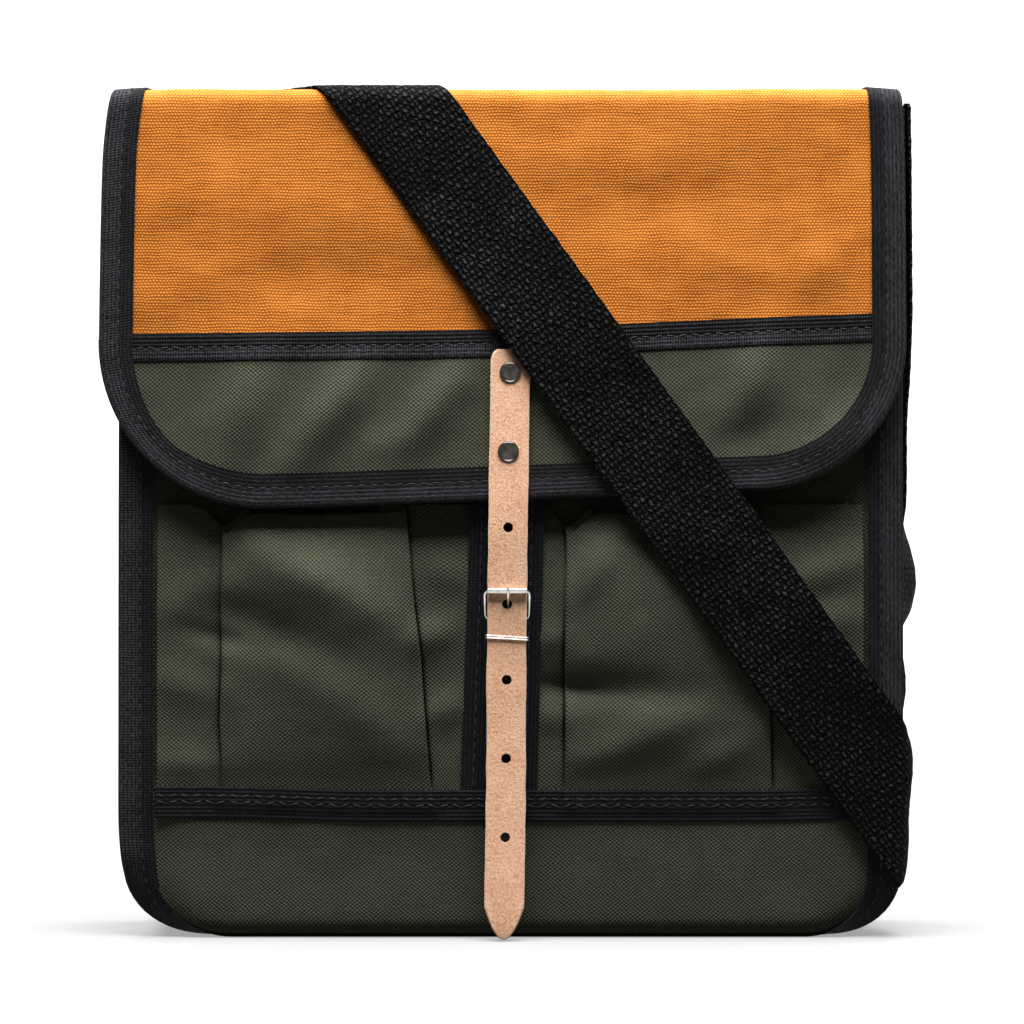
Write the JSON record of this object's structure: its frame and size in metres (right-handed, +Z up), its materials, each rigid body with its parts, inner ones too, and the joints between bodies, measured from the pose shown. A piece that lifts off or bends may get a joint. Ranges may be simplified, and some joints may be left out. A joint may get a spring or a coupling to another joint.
{
  "type": "canvas shoulder bag",
  "caption": "Boxed fabric shoulder bag with an orange and olive flap, bellows pockets, bound edges, a leather buckle strap and wide webbing wrapped round it.",
  "frame": {"origin": "middle of the bag's footprint, on the plane it stands on", "axes": "+Z up, the front with the flap and the pockets faces -Y, +X to the right of the front"},
  "size_m": [0.3843, 0.1251, 0.402],
  "materials": {
    "olive_fabric": "tight plain weave, dull sheen",
    "orange_canvas": "coarse canvas, matt",
    "black_tape": "ribbed binding tape",
    "black_webbing": "coarse woven webbing, matt",
    "natural_leather": "smooth undyed leather with raw edges",
    "nickel": "polished nickel",
    "dark_nickel": "dark oxidised metal"
  },
  "bodies": {
    "root": {"front_panel": "olive_fabric", "back_panel": "olive_fabric", "gusset": "olive_fabric", "front_binding": "black_tape", "back_binding": "black_tape", "flap_upper": "orange_canvas", "flap_lower": "olive_fabric", "flap_seam_tape": "black_tape", "flap_binding": "black_tape", "pocket_left": "olive_fabric", "pocket_right": "olive_fabric", "pocket_divider": "black_tape", "pocket_base_tape": "black_tape", "closure_strap": "natural_leather", "rivet_upper": "dark_nickel", "rivet_lower": "dark_nickel", "buckle_frame": "nickel", "buckle_roller": "nickel", "buckle_tongue": "nickel", "keeper_loop": "nickel", "buckle_chape": "black_tape", "shoulder_strap": "black_webbing"}
  },
  "joints": []
}
